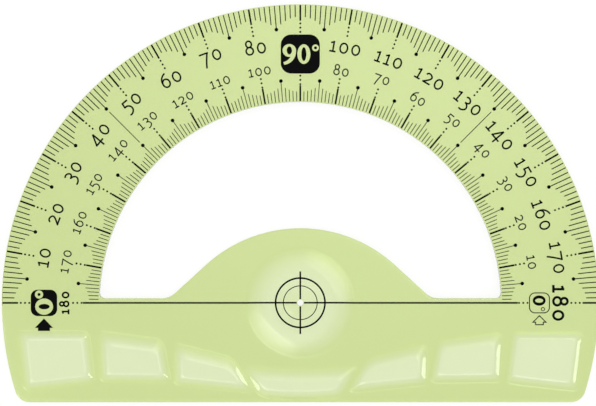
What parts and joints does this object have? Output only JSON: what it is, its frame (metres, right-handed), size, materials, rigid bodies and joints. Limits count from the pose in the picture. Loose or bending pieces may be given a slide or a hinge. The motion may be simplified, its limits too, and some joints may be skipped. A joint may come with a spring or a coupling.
{
  "type": "half-moon protractor",
  "caption": "Flat half-moon protractor in clear tinted plastic with two printed degree scales, a sighting target and shallow finger grips along the base.",
  "frame": {"origin": "centre of the sighting hole on the flat back face", "axes": "+X along the zero line to the 0 of the inner scale, +Y to 90 degrees, +Z out of the printed face"},
  "size_m": [0.12, 0.08, 0.002],
  "materials": {
    "clear_green": "clear light green, glossy, see-through",
    "black_ink": "printed black ink"
  },
  "bodies": {
    "root": {"protractor_body": "clear_green", "outer_degree_ticks": "black_ink", "outer_five_degree_pointers": "black_ink", "outer_ten_degree_ticks": "black_ink", "outer_leader_dots": "black_ink", "outer_numbers": "black_ink", "outer_end_number": "black_ink", "inner_degree_ticks": "black_ink", "inner_five_degree_pointers": "black_ink", "inner_ten_degree_ticks": "black_ink", "inner_leader_dots": "black_ink", "inner_numbers": "black_ink", "inner_end_number": "black_ink", "ninety_badge": "black_ink", "solid_zero_badge": "black_ink", "outline_zero_badge": "black_ink", "solid_arrow": "black_ink", "outline_arrow": "black_ink", "diagonal_guides": "black_ink", "zero_line": "black_ink", "target_outer_ring": "black_ink", "target_inner_ring": "black_ink", "target_upright": "black_ink"}
  },
  "joints": []
}
